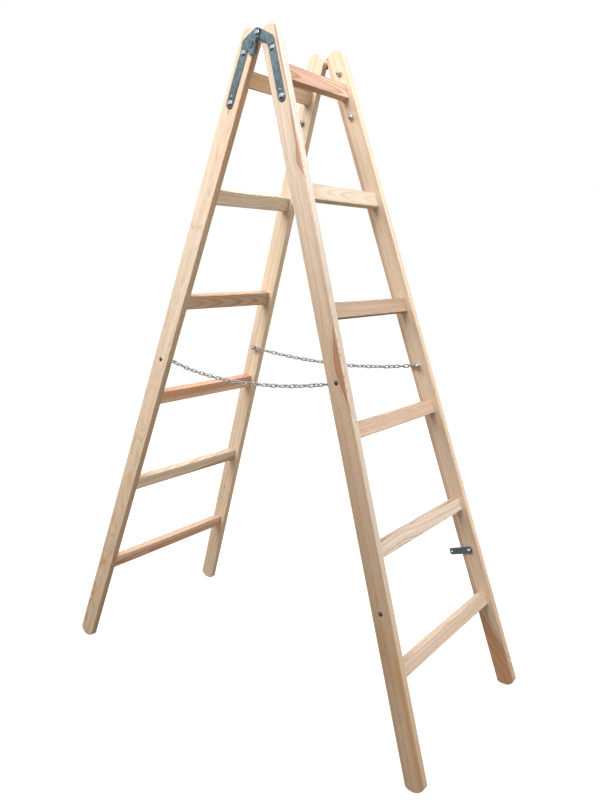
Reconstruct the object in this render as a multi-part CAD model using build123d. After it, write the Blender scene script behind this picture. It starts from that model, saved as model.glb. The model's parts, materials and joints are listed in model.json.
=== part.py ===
from build123d import *
import math
import os

# Two-sided wooden stepladder: two pine frames hinged at the top, check chains and strap latches.
# X runs across the spread, Y along the rungs and +Z up, with the origin on the floor between the feet.
# Each frame has its own coordinates with the hinge axis as origin: u outward across the stiles, Y along
# the rungs, v down the frame. Near pieces lie at -Y and far ones mirror them.

# Frames
LEAN = 18.5  # degrees each frame leans from upright when open
SPLAY = 4.7  # degrees each stile leans out along the rungs
STILE_WIDTH = 50.0
STILE_THICK = 20.0
STILE_LENGTH = 1780.0
TIP_ABOVE_PIVOT = 9.0  # stile tip past the hinge axis
CLOSED_GAP = 3.2  # between the two frames' stiles when shut
PIVOT_WIDTH = 287.5  # over the outer faces at the hinge axis
FOOT_RADIUS = 30.0  # rounding of the foot across the stile
FOOT_FLAT = 0.6  # depth planed off the foot's outer edge to stand level
STILE_EASE = 2.0  # softened edges

# Rungs
RUNG_COUNT = 6
RUNG_PITCH = 280.0
TOP_RUNG = 98.0  # middle of the top rung below the hinge axis
RUNG_HEIGHT = 38.0
RUNG_DEPTH = 21.0
RUNG_EASE = 2.5
TENON_HEIGHT = 24.0
TENON_THICK = 12.0
TENON_LENGTH = 13.0
MORTISE_SPARE = 1.0  # glue room at the mortise's end
GLUE_LINE = 0.1

# Hinge leaves
LEAF_THICK = 2.5
STRAP_WIDTH = 19.8
STRAP_OFFSET = 2.1  # strap outward of the stile's middle
STRAP_LAP = 9.0  # length of strap fused under the head
STRAP_TAIL = 12.0  # strap past the lower bolt
HEAD_TO_BOLT = 1.0  # head's lower end above the upper bolt's head
EYE_RADIUS = 11.0
SHOULDER_ROUND = 9.0
ARM_FOOT = 17.0  # plain head's lower edge straight below the hinge axis
ELBOW = 31.5  # where that edge turns into the strap's inner edge
TONGUE_END = 49.0
TONGUE_REACH = 12.0  # tongue past the hinge axis toward the other frame
TONGUE_RISE = 6.3  # slope of the tongue's lower edge
TONGUE_TAPER = 2.3
TONGUE_ROUND = 3.5
NOTCH_WIDTH = 6.5  # between strap and tongue
NOTCH_ROUND = 2.5
EDGE_TOP = 4.5  # tongue's straight edge past the hinge axis at the top of the eye
FLANGE_HEIGHT = 9.0  # straight edge turned outward
FLANGE_START = 9.0
NIB_LENGTH = 17.0
NIB_WIDTH = 13.0
NIB_TOP = 5.0  # its upper end off the plate
NIB_FOOT = 0.8  # its lower end off the plate
NIB_ROUND = 1.6
NIB_AT = (10.6, 26.5)
NIB_TURN = 75.0
HEAD_GAP = 0.3  # running gap between the two heads
INNER_STEP = 1.2  # lower head's step toward the wood
PLAIN_STEP_START = 13.0  # step of a plain head, out from the hinge axis
PLAIN_STEP_RUN = 4.0
TONGUE_STEP_TURN = 25.0  # step of the tongue's head runs this far below square to the strap
TONGUE_STEP_START = 29.0
TONGUE_STEP_RUN = 5.5

# Hinge pivot
PIVOT_RADIUS = 3.0
PIVOT_HEAD_RADIUS = 6.0
PIVOT_HEAD_HEIGHT = 4.0
PIVOT_TAIL_RADIUS = 5.0
PIVOT_TAIL_HEIGHT = 2.0
PIVOT_TAIL_CLEARANCE = 0.5  # set end off the wood
RUNNING_FIT = 0.05
PRESS_FIT = 0.02

# Leaf fasteners
UPPER_BOLT = 48.0
LOWER_BOLT = 160.0
BOLT_RADIUS = 3.0
BOLT_HEAD_RADIUS = 7.4
BOLT_HEAD_HEIGHT = 4.2
BOLT_HOLE_CLEARANCE = 0.1
NAIL_ABOVE_BOLT = 15.5
NAIL_RADIUS = 1.4
NAIL_HEAD_RADIUS = 2.8
NAIL_HEAD_HEIGHT = 1.3
NAIL_LENGTH = 16.0
NUT_ACROSS = 10.0
NUT_HEIGHT = 5.0
NUT_DOME_HEIGHT = 4.6
NUT_BORE_SPARE = 0.8
NUT_BEVEL = 0.3  # dome's foot inside the hexagon

# Check chains
CHAIN_BELOW_RUNG = 165.0  # below the third rung
CHAIN_SAG_NEAR = 35.0
CHAIN_SAG_FAR = 22.0
CHAIN_LINKS = 20  # in each half
WIRE = 2.2
LINK_INNER_WIDTH = 5.0
LINK_PLAY = 0.3
CHAIN_STANDOFF = 6.0  # chain's middle off the stile's inner face
CHAIN_ROOM = 10.5  # bolt between stile and outer washer
CHAIN_PASS = 10.6  # sideways distance of the halves where they pass each other
PASS_START = 36.0
PASS_END = 90.0
CHAIN_BOLT_RADIUS = 2.0
CHAIN_HEAD_RADIUS = 4.5
CHAIN_HEAD_HEIGHT = 2.4
CHAIN_NUT_ACROSS = 8.0
CHAIN_NUT_HEIGHT = 3.4
CHAIN_NUT_DOME = 3.0
WASHER_RADIUS = 6.5
WASHER_THICK = 1.2

# Strap latches
LATCH_BELOW_RUNG = 139.0  # below the fifth rung
LATCH_WIDTH = 20.0
LATCH_THICK = 2.5
LATCH_CORNER = 6.0
LATCH_TIP = 6.0  # strap past the pin hole
LATCH_HEEL = 8.0  # strap past its bolt
LATCH_GAP = 0.4
LATCH_BOLT_RADIUS = 2.5
CATCH_HOLE_RADIUS = 3.4
CATCH_PIN_RADIUS = 2.0
CATCH_PIN_DEPTH = 12.0
CATCH_PIN_PROUD = 5.0

CUT_SPARE = 1.0  # cutters past the faces they open

# Worked-out places
stile_in = CLOSED_GAP / 2
stile_mid = stile_in + STILE_WIDTH / 2
stile_out = stile_in + STILE_WIDTH
stile_top = -TIP_ABOVE_PIVOT
stile_foot = STILE_LENGTH - TIP_ABOVE_PIVOT
lean = math.radians(LEAN)
splay = math.radians(SPLAY)
foot_center = stile_foot - FOOT_RADIUS
foot_rise = FOOT_RADIUS - math.sqrt(FOOT_RADIUS**2 - (STILE_WIDTH / 2) ** 2)
foot_drop = math.hypot(math.sin(lean), math.cos(lean) * math.cos(splay)) * FOOT_RADIUS
pivot_z = (
    foot_center * math.cos(splay) * math.cos(lean) + foot_drop - stile_mid * math.sin(lean) - FOOT_FLAT
)
strap_mid = stile_mid + STRAP_OFFSET
strap_in = strap_mid - STRAP_WIDTH / 2
strap_out = strap_mid + STRAP_WIDTH / 2
head_foot = UPPER_BOLT - BOLT_HEAD_RADIUS - HEAD_TO_BOLT
tail_face = -PIVOT_WIDTH / 2 - math.tan(splay) * PIVOT_TAIL_RADIUS - PIVOT_TAIL_CLEARANCE
inner_back = tail_face - PIVOT_TAIL_HEIGHT - HEAD_GAP
head_back = inner_back - INNER_STEP
outer_back = inner_back - LEAF_THICK - HEAD_GAP
nail_at = LOWER_BOLT - NAIL_ABOVE_BOLT
rung_places = [TOP_RUNG + i * RUNG_PITCH for i in range(RUNG_COUNT)]
chain_at = rung_places[2] + CHAIN_BELOW_RUNG
latch_at = rung_places[4] + LATCH_BELOW_RUNG

# Stile coordinates have u as X, the inward normal of the outer face as Y and v down as -Z.
stile_at = Location((0, -PIVOT_WIDTH / 2, 0), (-SPLAY, 0, 0))
frame_at = Location((0, 0, pivot_z), (0, -LEAN, 0))


def place(shape, left=False, far=False):
    """Set a piece of the right near side into the row, mirrored to the far and left sides."""
    if far:
        shape = mirror(shape, about=Plane.XZ)
    shape = frame_at * shape
    if left:
        shape = mirror(shape, about=Plane.YZ)
    return shape


def outward(u, y, v):
    """Location on a stile whose +Z points out of the outer face."""
    return stile_at * Location((u, y, -v), (90, 0, 0))


def inward(u, y, v):
    """Location on a stile whose +Z points toward the other stile of the frame."""
    return stile_at * Location((u, y, -v), (-90, 0, 0))


def rod(radius, start, end):
    """Cylinder along Z between two heights."""
    return Pos(0, 0, (start + end) / 2) * Cylinder(radius, end - start)


def dome(radius, height):
    """Spherical cap on the XY plane."""
    ball = (radius**2 + height**2) / (2 * height)
    half = math.asin(radius / ball) / 2
    crown = (ball * math.sin(half), height - ball + ball * math.cos(half))
    arc = ThreePointArc((radius, 0), crown, (0, height))
    half_section = make_face(Line((0, 0), (radius, 0)) + arc + Line((0, height), (0, 0)))
    return revolve(Plane.XZ * half_section, Axis.Z)


def headed_pin(head_radius, head_height, radius, length):
    """Domed head above the XY plane with a shank below it."""
    return dome(head_radius, head_height) + rod(radius, -length, 0)


def cap_nut(across, height, dome_height, bore_radius, bore_depth):
    """Hexagon nut with a closed domed end, standing on the XY plane."""
    body = extrude(RegularPolygon(across / 2, 6, major_radius=False), height)
    body += Pos(0, 0, height) * dome(across / 2 - NUT_BEVEL, dome_height)
    return body - rod(bore_radius, -CUT_SPARE, bore_depth)


def plan_face(points):
    """Face in the frame's plane from (u, v) corners."""
    return Plane.XZ * make_face(Polyline(*[(u, -v) for u, v in points], close=True))


def slab(face, back, thick):
    """Plate of a plan face whose inner side lies at Y = back."""
    return Pos(0, back, 0) * extrude(face, thick)


def inner_face(v):
    """Distance of a stile's inner face from the frame's middle plane at v."""
    return PIVOT_WIDTH / 2 + v * math.tan(splay) - STILE_THICK / math.cos(splay)


# Wooden frame


def tenon(v, clearance, spare):
    """Bar through one rung's two tenons, or the mortises that take them."""
    reach = inner_face(v) + TENON_LENGTH + spare
    bar = Box(TENON_THICK + 2 * clearance, 2 * reach, TENON_HEIGHT + 2 * clearance)
    return Pos(stile_mid, 0, -v) * bar


def rung(v):
    """One rung between the splayed inner faces, with eased edges and a tenon at each end."""
    top, bottom = v - RUNG_HEIGHT / 2, v + RUNG_HEIGHT / 2
    corners = [
        (-inner_face(top), -top),
        (inner_face(top), -top),
        (inner_face(bottom), -bottom),
        (-inner_face(bottom), -bottom),
    ]
    face = Plane.YZ * make_face(Polyline(*corners, close=True))
    body = Pos(stile_mid - RUNG_DEPTH / 2, 0, 0) * extrude(face, RUNG_DEPTH)
    body = fillet(body.edges().filter_by(Axis.Y), RUNG_EASE)
    return body + tenon(v, 0, 0)


def through_hole(u, v, radius):
    """Cutter across a stile and anything on its outer face."""
    return inward(u, 0, v) * rod(radius, -LEAF_THICK - CUT_SPARE, STILE_THICK + CUT_SPARE)


def stile(left):
    """One stile with rounded ends, rung mortises and the holes of its fittings."""
    shoulder = -(stile_top + STILE_WIDTH / 2)
    ankle = -(stile_foot - foot_rise)
    edge = (
        ThreePointArc((stile_in, shoulder), (stile_mid, -stile_top), (stile_out, shoulder))
        + Line((stile_out, shoulder), (stile_out, ankle))
        + ThreePointArc((stile_out, ankle), (stile_mid, -stile_foot), (stile_in, ankle))
        + Line((stile_in, ankle), (stile_in, shoulder))
    )
    blank = extrude(Plane.XZ * make_face(edge), -STILE_THICK)
    blank = fillet(blank.faces().filter_by(Axis.Y).edges(), STILE_EASE)
    blank = stile_at * blank
    for v in rung_places:
        blank -= tenon(v, GLUE_LINE, MORTISE_SPARE)
    for v in (UPPER_BOLT, LOWER_BOLT):
        blank -= through_hole(strap_mid, v, BOLT_RADIUS + BOLT_HOLE_CLEARANCE)
    blank -= outward(strap_mid, 0, nail_at) * rod(NAIL_RADIUS, LEAF_THICK - NAIL_LENGTH, CUT_SPARE)
    blank -= through_hole(stile_mid, chain_at, CHAIN_BOLT_RADIUS + BOLT_HOLE_CLEARANCE)
    if left:
        socket = rod(CATCH_PIN_RADIUS, -CATCH_PIN_DEPTH, CUT_SPARE)
        blank -= inward(stile_mid, STILE_THICK, latch_at) * socket
    else:
        blank -= through_hole(stile_mid, latch_at, LATCH_BOLT_RADIUS + BOLT_HOLE_CLEARANCE)
    return blank


def stand_level(shape):
    """Plane the foot off at the floor."""
    return split(shape, bisect_by=Plane.XY, keep=Keep.TOP)


# Hinge leaves


def strap():
    """Leaf's strap on the stile's outer face, with a round lower end and its fastener holes."""
    top = head_foot - STRAP_LAP
    end = LOWER_BOLT + STRAP_TAIL - STRAP_WIDTH / 2
    edge = (
        Line((strap_in, -top), (strap_out, -top))
        + Line((strap_out, -top), (strap_out, -end))
        + ThreePointArc((strap_out, -end), (strap_mid, -end - STRAP_WIDTH / 2), (strap_in, -end))
        + Line((strap_in, -end), (strap_in, -top))
    )
    plate = stile_at * extrude(Plane.XZ * make_face(edge), LEAF_THICK)
    for v in (UPPER_BOLT, LOWER_BOLT):
        plate -= through_hole(strap_mid, v, BOLT_RADIUS + BOLT_HOLE_CLEARANCE)
    return plate - through_hole(strap_mid, nail_at, NAIL_RADIUS)


def head_corners():
    """Corners that both heads share: along the eye's slanting tangent to the shoulder and the strap."""
    tangent = EYE_RADIUS * math.sqrt(0.5)
    return [
        (tangent, -tangent),
        (strap_out, strap_out - 2 * tangent),
        (strap_out, head_foot),
        (strap_in, head_foot),
    ]


def rounded(face, corner, radius):
    """Plan face with the corner at (u, v) rounded."""
    u, v = corner
    return fillet(face.vertices().sort_by_distance((u, 0, -v))[0], radius)


def bent_head(outline, turn, start, run, near_back):
    """Sheet cut to an outline, at near_back by the hinge axis, that steps to head_back toward the strap."""
    arm = Vector(1, 0, 0).rotate(Axis.Y, turn)
    section = Plane(origin=(0, 0, 0), x_dir=arm, z_dir=arm.cross(Vector(0, 1, 0)))
    reach = LOWER_BOLT
    back = [(-reach, near_back), (start, near_back), (start + run, head_back), (reach, head_back)]
    front = [(s, y - LEAF_THICK) for s, y in reversed(back)]
    sheet = extrude(section * make_face(Polyline(*back, *front, close=True)), reach, both=True)
    return extrude(outline, PIVOT_WIDTH, both=True) & sheet


def eye_hole(radius):
    """Cutter along the hinge axis through both heads."""
    depth = inner_back - outer_back + LEAF_THICK
    return Location((0, inner_back, 0), (90, 0, 0)) * rod(radius, -CUT_SPARE, depth + CUT_SPARE)


def pressed_nib():
    """Nib pressed out of the tongue's head, low at its foot and standing off at its upper end."""
    sunk = LEAF_THICK / 2
    block = extrude(SlotOverall(NIB_LENGTH, NIB_WIDTH), sunk + NIB_TOP)
    slope = Plane((NIB_LENGTH / 2, 0, sunk + NIB_TOP), z_dir=(NIB_FOOT - NIB_TOP, 0, NIB_LENGTH))
    block = split(block, bisect_by=slope, keep=Keep.BOTTOM)
    block = fillet(block.faces().sort_by(Axis.Z)[-1].edges(), NIB_ROUND)
    place = Location((NIB_AT[0], outer_back - sunk, -NIB_AT[1]), (90, 0, 0))
    return place * Rot(0, 0, NIB_TURN) * block


def leaf_tongue():
    """Leaf whose head steps outward, with a notch, a tongue, its turned-out edge and a pressed nib."""
    notch = (strap_in - NOTCH_WIDTH, head_foot)
    heel = (notch[0] - TONGUE_TAPER, TONGUE_END)
    tip = (-TONGUE_REACH, TONGUE_END - TONGUE_RISE)
    crown = (-EDGE_TOP, -math.sqrt(EYE_RADIUS**2 - EDGE_TOP**2))
    face = plan_face(head_corners() + [notch, heel, tip, crown])
    face = rounded(face, head_corners()[1], SHOULDER_ROUND)
    face = rounded(face, notch, NOTCH_ROUND)
    face = rounded(face, heel, TONGUE_ROUND)
    past = -2 * EYE_RADIUS
    beyond = plan_face([crown, tip, (tip[0] + past, tip[1]), (crown[0] + past, crown[1])])
    outline = face + (Plane.XZ * Circle(EYE_RADIUS) - beyond)
    head = bent_head(outline, TONGUE_STEP_TURN, TONGUE_STEP_START, TONGUE_STEP_RUN, outer_back)
    foot = Vector(*tip)
    along = (Vector(*crown) - foot).normalized()
    start = foot + along * ((FLANGE_START - tip[1]) / along.Y)
    side = Vector(-along.Y, along.X) * LEAF_THICK
    strip = [start, foot, foot + side, start + side]
    flange = slab(plan_face([(p.X, p.Y) for p in strip]), outer_back, LEAF_THICK + FLANGE_HEIGHT)
    return strap() + head + flange + pressed_nib() - eye_hole(PIVOT_RADIUS + PRESS_FIT)


def leaf_plain(over):
    """Leaf with a plain arm, whose head steps outward over the other leaf's eye or inward under it."""
    elbow = (strap_in, ELBOW)
    eye_side = EYE_RADIUS * math.sqrt(0.5)
    face = plan_face(head_corners() + [elbow, (0, ARM_FOOT), (-eye_side, eye_side)])
    face = rounded(face, head_corners()[1], SHOULDER_ROUND)
    face = rounded(face, elbow, SHOULDER_ROUND)
    outline = face + Plane.XZ * Circle(EYE_RADIUS)
    head = bent_head(outline, 0, PLAIN_STEP_START, PLAIN_STEP_RUN, outer_back if over else inner_back)
    return strap() + head - eye_hole(PIVOT_RADIUS + (PRESS_FIT if over else RUNNING_FIT))


def pivot_rivet():
    """Rivet through both heads, with a domed head outside and a flat set end inside."""
    seat = outer_back - LEAF_THICK
    length = tail_face - seat
    shank = headed_pin(PIVOT_HEAD_RADIUS, PIVOT_HEAD_HEIGHT, PIVOT_RADIUS, length)
    tail = rod(PIVOT_TAIL_RADIUS, -length, PIVOT_TAIL_HEIGHT - length)
    return Location((0, seat, pivot_z), (90, 0, 0)) * (shank + tail)


# Fasteners


def leaf_bolts():
    """The two domed bolts of one leaf."""
    length = LEAF_THICK + STILE_THICK + NUT_HEIGHT
    pin = headed_pin(BOLT_HEAD_RADIUS, BOLT_HEAD_HEIGHT, BOLT_RADIUS, length)
    return Compound(children=[outward(strap_mid, -LEAF_THICK, v) * pin for v in (UPPER_BOLT, LOWER_BOLT)])


def leaf_nuts():
    """The two cap nuts of one leaf on the stile's inner face."""
    bore = BOLT_RADIUS + BOLT_HOLE_CLEARANCE
    nut = cap_nut(NUT_ACROSS, NUT_HEIGHT, NUT_DOME_HEIGHT, bore, NUT_HEIGHT + NUT_BORE_SPARE)
    return Compound(children=[inward(strap_mid, STILE_THICK, v) * nut for v in (UPPER_BOLT, LOWER_BOLT)])


def leaf_nail():
    """Nail just above the lower bolt."""
    pin = headed_pin(NAIL_HEAD_RADIUS, NAIL_HEAD_HEIGHT, NAIL_RADIUS, NAIL_LENGTH)
    return outward(strap_mid, -LEAF_THICK, nail_at) * pin


def chain_bolt():
    """Bolt through the stile that carries a chain's end link."""
    length = STILE_THICK + CHAIN_ROOM + WASHER_THICK + CHAIN_NUT_HEIGHT
    pin = headed_pin(CHAIN_HEAD_RADIUS, CHAIN_HEAD_HEIGHT, CHAIN_BOLT_RADIUS, length)
    return outward(stile_mid, 0, chain_at) * pin


def chain_nut():
    """Washers beside the end link and the cap nut that closes them in."""
    bore = CHAIN_BOLT_RADIUS + BOLT_HOLE_CLEARANCE
    washer = rod(WASHER_RADIUS, 0, WASHER_THICK) - rod(bore, -CUT_SPARE, WASHER_THICK + CUT_SPARE)
    bore_depth = CHAIN_NUT_HEIGHT + NUT_BORE_SPARE
    nut = cap_nut(CHAIN_NUT_ACROSS, CHAIN_NUT_HEIGHT, CHAIN_NUT_DOME, bore, bore_depth)
    outer = STILE_THICK + CHAIN_ROOM
    return Compound(
        children=[
            inward(stile_mid, outer, chain_at) * washer,
            inward(stile_mid, outer + WASHER_THICK, chain_at) * nut,
        ]
    )


def latch_bolt():
    """Bolt through the stile that a latch turns on."""
    length = STILE_THICK + LATCH_GAP + LATCH_THICK + LATCH_GAP + CHAIN_NUT_HEIGHT
    pin = headed_pin(CHAIN_HEAD_RADIUS, CHAIN_HEAD_HEIGHT, LATCH_BOLT_RADIUS, length)
    return outward(stile_mid, 0, latch_at) * pin


def latch_nut():
    """Cap nut over a latch."""
    bore = LATCH_BOLT_RADIUS + BOLT_HOLE_CLEARANCE
    nut = cap_nut(NUT_ACROSS, CHAIN_NUT_HEIGHT, CHAIN_NUT_DOME, bore, CHAIN_NUT_HEIGHT + NUT_BORE_SPARE)
    return inward(stile_mid, STILE_THICK + LATCH_GAP + LATCH_THICK + LATCH_GAP, latch_at) * nut


def catch_pin():
    """Pin in the left stile that a latch's hole drops over."""
    pin = rod(CATCH_PIN_RADIUS, -CATCH_PIN_DEPTH, CATCH_PIN_PROUD)
    return inward(stile_mid, STILE_THICK, latch_at) * pin


def latch(hanging):
    """Strap latch across the stile, or turned to hang down it."""
    reach = 2 * stile_mid
    length = reach + LATCH_TIP + LATCH_HEEL
    plate = RectangleRounded(length, LATCH_WIDTH, LATCH_CORNER)
    plate = Pos(LATCH_HEEL - length / 2, 0) * plate
    plate -= Circle(LATCH_BOLT_RADIUS + RUNNING_FIT)
    plate -= Pos(-reach, 0) * Circle(CATCH_HOLE_RADIUS)
    turn = Rotation(0, 0, -90 if hanging else 0)
    return inward(stile_mid, STILE_THICK + LATCH_GAP, latch_at) * turn * extrude(plate, LATCH_THICK)


# Check chains


def chain_link(pitch):
    """One welded link of hexagonal wire lying in the XY plane along X."""
    side = (LINK_INNER_WIDTH + WIRE) / 2
    end = (pitch + LINK_PLAY + WIRE) / 2
    bend = end - side * math.sqrt(3) / 2
    half = [(bend, side), (end, side / 2), (end, -side / 2), (bend, -side)]
    loop = half + [(-x, -y) for x, y in half]
    path = Polyline((0, side), *loop, (0, side))
    wire = Plane(origin=(0, side, 0), z_dir=(1, 0, 0)) * RegularPolygon(WIRE / 2, 6, major_radius=False)
    return sweep(wire, path, transition=Transition.RIGHT)


def chain_point(t, span, sag, shift):
    """Point of a half chain at share t of its span from the bolt, relative to the bolt, running along -X."""
    drop = sag * (1 - (1 - t) ** 2)
    ramp = min(1.0, max(0.0, (t * span - PASS_START) / (PASS_END - PASS_START)))
    return Vector(-t * span, shift * ramp * ramp * (3 - 2 * ramp), -drop)


def half_chain(bolt, sag, shift):
    """Links from a right-hand bolt to the chain's middle, each turned a quarter from the last."""
    path = Spline(*[chain_point(i / CHAIN_LINKS, bolt.X, sag, shift) for i in range(CHAIN_LINKS + 1)])
    pitch = (path.length + (LINK_INNER_WIDTH - LINK_PLAY) / 2) / CHAIN_LINKS
    first = (pitch + LINK_PLAY - LINK_INNER_WIDTH) / 2
    link = chain_link(pitch)
    links = []
    for i in range(CHAIN_LINKS):
        center = path.position_at(first + i * pitch, position_mode=PositionMode.LENGTH)
        along = path.tangent_at(first + i * pitch, position_mode=PositionMode.LENGTH)
        level = (Vector(0, 1, 0) - along * along.Y).normalized()
        normal = level if i % 2 == 0 else along.cross(level)
        links.append(Plane(origin=bolt + center, x_dir=along, z_dir=normal).location * link)
    return Compound(children=links)


chain_seat = stile_at * Location((stile_mid, STILE_THICK + CHAIN_STANDOFF, -chain_at))
near_bolt = (frame_at * chain_seat).position

# Nodes
nodes = {}
for far, end in ((False, "near"), (True, "far")):
    for left, hand in ((True, "left"), (False, "right")):
        tag = f"{end}_{hand}"
        nodes[f"stile_{tag}"] = stand_level(place(stile(left), left, far))
        leaf = leaf_tongue() if left and not far else leaf_plain(over=left)
        nodes[f"leaf_{tag}"] = place(leaf, left, far)
        nodes[f"leaf_bolts_{tag}"] = place(leaf_bolts(), left, far)
        nodes[f"leaf_nuts_{tag}"] = place(leaf_nuts(), left, far)
        nodes[f"leaf_nail_{tag}"] = place(leaf_nail(), left, far)
        nodes[f"chain_bolt_{tag}"] = place(chain_bolt(), left, far)
        nodes[f"chain_nut_{tag}"] = place(chain_nut(), left, far)
        sag = CHAIN_SAG_FAR if far else CHAIN_SAG_NEAR
        shift = -CHAIN_PASS / 2 if left else CHAIN_PASS / 2
        half = half_chain(near_bolt, sag, shift)
        half = mirror(half, about=Plane.XZ) if far else half
        nodes[f"chain_{tag}"] = mirror(half, about=Plane.YZ) if left else half
    nodes[f"pivot_rivet_{end}"] = mirror(pivot_rivet(), about=Plane.XZ) if far else pivot_rivet()
    nodes[f"latch_{end}"] = place(latch(hanging=not far), False, far)
    nodes[f"latch_bolt_{end}"] = place(latch_bolt(), False, far)
    nodes[f"latch_nut_{end}"] = place(latch_nut(), False, far)
    nodes[f"catch_pin_{end}"] = place(catch_pin(), True, far)
for left, hand in ((True, "left"), (False, "right")):
    for i, v in enumerate(rung_places):
        nodes[f"rung_{hand}_{i + 1}"] = place(rung(v), left)

os.makedirs("parts", exist_ok=True)
for name, shape in nodes.items():
    export_step(shape, f"parts/{name}.step")
print(len(nodes), "nodes, hinge axis at", round(pivot_z, 3))
print("near right chain bolt", [round(c, 3) for c in near_bolt])
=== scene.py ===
"""Looks of a two-sided wooden stepladder.

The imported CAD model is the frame. This script dresses its boards in pine and its fittings in galvanised,
zinc-plated and dark steel, and puts finer pieces in place of the plain boards, chains and fittings.
"""

import json
import logging
import math
from collections.abc import Callable, Sequence
from dataclasses import dataclass, field
from enum import Enum

import bpy
from mathutils import Matrix, Vector

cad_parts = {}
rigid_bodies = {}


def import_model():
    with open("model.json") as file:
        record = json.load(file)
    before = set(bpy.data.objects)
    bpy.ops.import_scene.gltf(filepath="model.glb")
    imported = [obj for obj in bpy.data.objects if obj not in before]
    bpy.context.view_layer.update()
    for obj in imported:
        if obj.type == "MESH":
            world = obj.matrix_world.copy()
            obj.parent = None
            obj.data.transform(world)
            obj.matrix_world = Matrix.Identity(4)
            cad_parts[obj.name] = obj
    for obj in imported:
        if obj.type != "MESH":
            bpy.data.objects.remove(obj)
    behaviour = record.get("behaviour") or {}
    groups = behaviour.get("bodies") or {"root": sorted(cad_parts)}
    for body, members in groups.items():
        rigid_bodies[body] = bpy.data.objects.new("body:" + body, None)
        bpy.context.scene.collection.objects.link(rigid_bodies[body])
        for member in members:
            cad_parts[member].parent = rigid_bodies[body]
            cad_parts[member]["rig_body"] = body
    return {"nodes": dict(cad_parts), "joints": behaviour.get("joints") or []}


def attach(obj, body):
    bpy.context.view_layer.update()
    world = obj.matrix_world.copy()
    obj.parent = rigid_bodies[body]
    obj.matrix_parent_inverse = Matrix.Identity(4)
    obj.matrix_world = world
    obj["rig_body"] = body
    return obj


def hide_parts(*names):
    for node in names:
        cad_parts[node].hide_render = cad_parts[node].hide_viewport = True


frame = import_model()
log = logging.getLogger("stepladder")

# Places nearer to each other than this count as one, in metres
EPS = 1e-5

Pair = tuple[float, float]
Triple = tuple[float, float, float]
Color = Triple
Swell = Triple
TintPatch = tuple[Pair, Pair, Color]
Stop = tuple[float, Color]
Input = float | Triple | bpy.types.NodeSocket

# Leaves a colour as it is
NO_TINT: Color = (1.0, 1.0, 1.0)

# How far one step of a pattern's shift moves it along each axis, in waves
PATTERN_STEP: Triple = (3.1, 7.7, 5.3)


class Row(Enum):
    """Which ends of the rungs a piece belongs to."""

    NEAR = "near"
    FAR = "far"

    @property
    def sign(self) -> float:
        """Direction along Y."""
        return -1.0 if self is Row.NEAR else 1.0


class Side(Enum):
    """Which of the two frames a piece belongs to."""

    LEFT = "left"
    RIGHT = "right"

    @property
    def sign(self) -> float:
        """Direction along X."""
        return -1.0 if self is Side.LEFT else 1.0


class Slot(Enum):
    """The record's material slots."""

    PINE = "pine"
    SHEET = "galvanised_sheet"
    BRIGHT = "bright_zinc"
    CHAIN = "chain_zinc"
    BOLT = "dark_bolt"
    STRAP = "dark_steel"


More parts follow.
